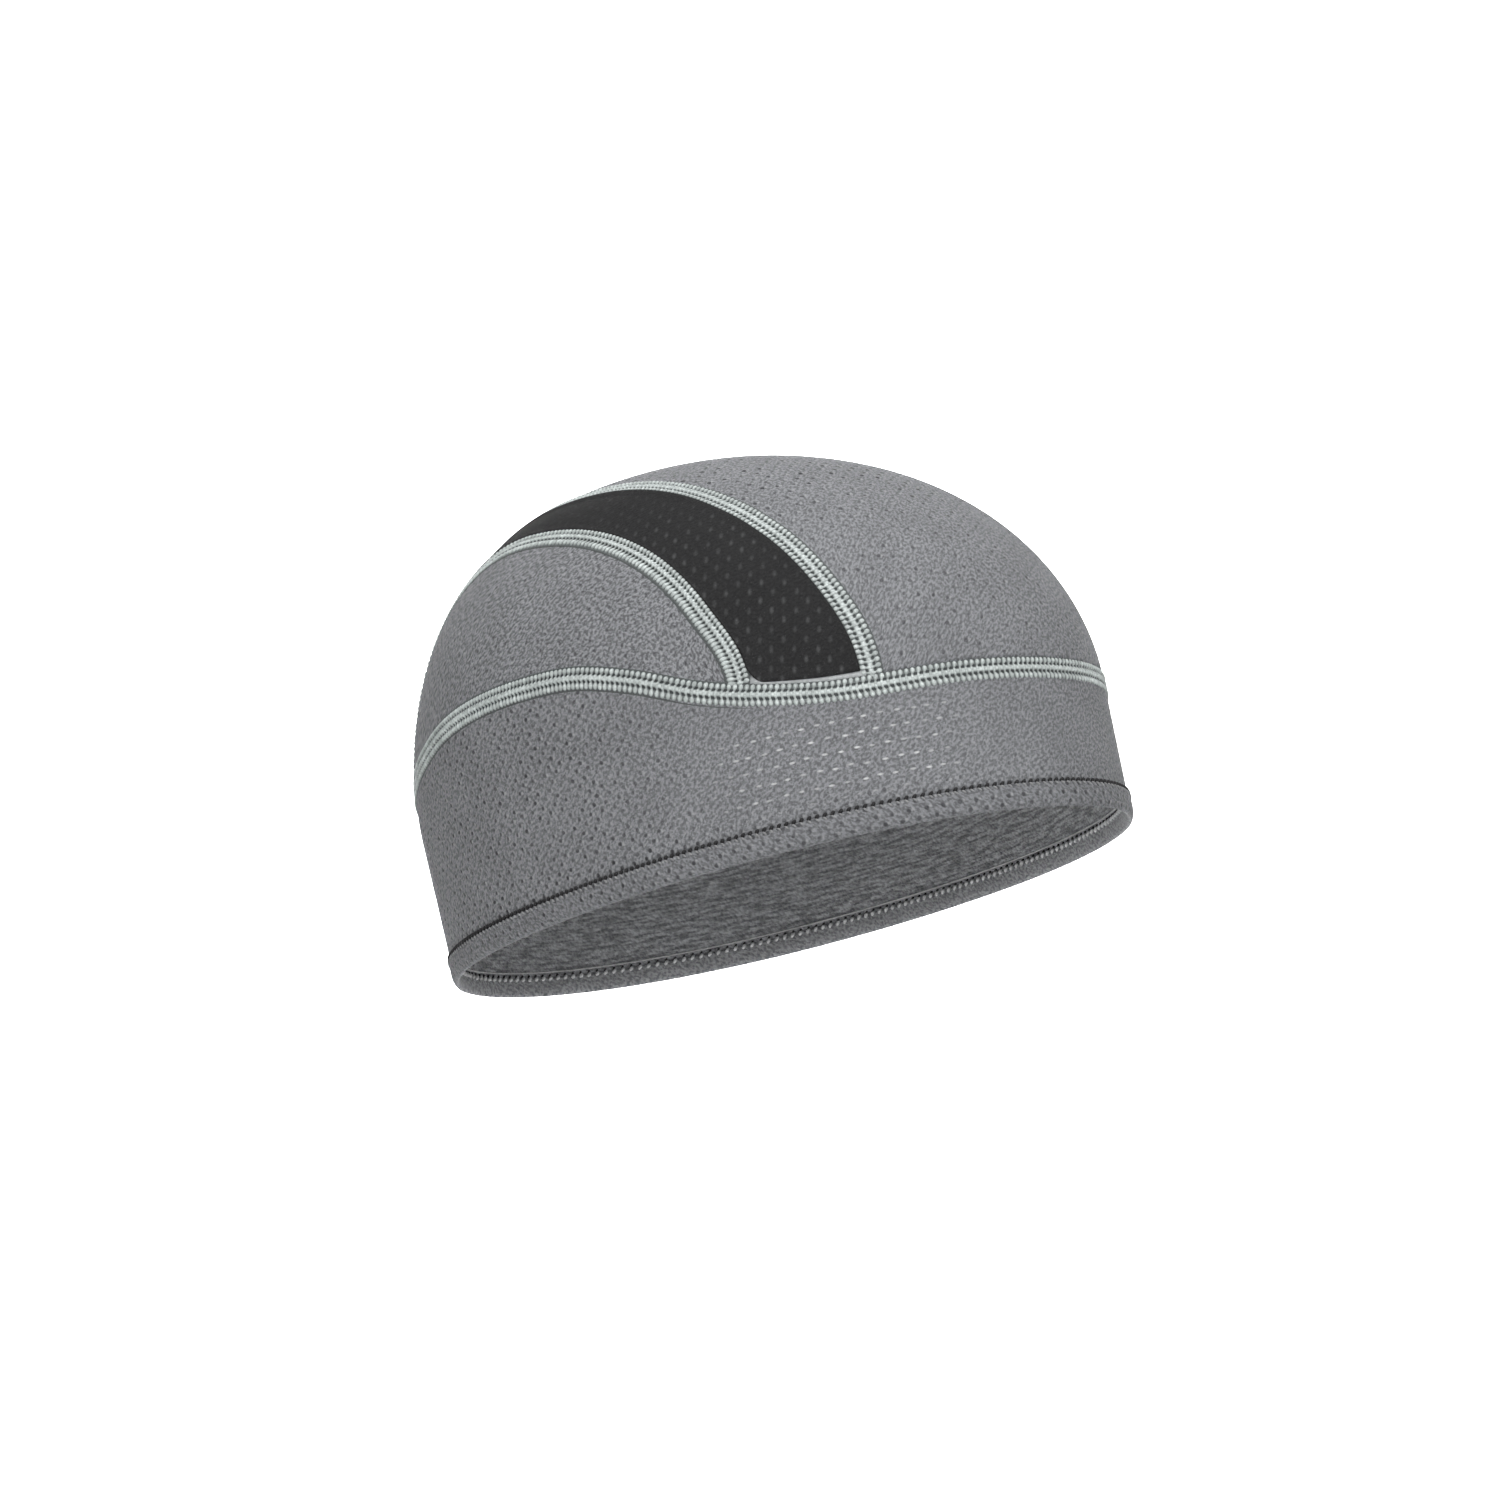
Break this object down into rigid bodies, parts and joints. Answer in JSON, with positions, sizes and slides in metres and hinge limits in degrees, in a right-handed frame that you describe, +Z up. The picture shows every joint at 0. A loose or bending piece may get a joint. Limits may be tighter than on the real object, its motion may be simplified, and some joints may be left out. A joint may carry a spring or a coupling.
{
  "type": "cooling cap",
  "caption": "Close-fitting knit skull cap: grey perforated panels, a dark mesh strip over each side of the crown, pale flat seams and a folded hem around the open rim.",
  "frame": {"origin": "centre of the rim opening, midway between forehead and nape and midway between the sides", "axes": "+Z up for a wearer who looks level, -Y out of the forehead, +X to the wearer's left; the rim is tipped up at the forehead by 15.1 degrees about X"},
  "size_m": [0.1626, 0.204, 0.1456],
  "materials": {
    "grey_knit": "matt mid-grey perforated stretch knit",
    "black_mesh": "matt near-black knit mesh with small pale eyelets",
    "seam_thread": "pale grey-green flat-seam thread with a soft sheen"
  },
  "bodies": {
    "root": {"hem": "grey_knit", "band": "grey_knit", "band_seam": "seam_thread", "top_panel": "grey_knit", "strip_right": "black_mesh", "side_panel_right": "grey_knit", "strip_inner_seam_right": "seam_thread", "strip_outer_seam_right": "seam_thread", "strip_left": "black_mesh", "side_panel_left": "grey_knit", "strip_inner_seam_left": "seam_thread", "strip_outer_seam_left": "seam_thread"}
  },
  "joints": []
}
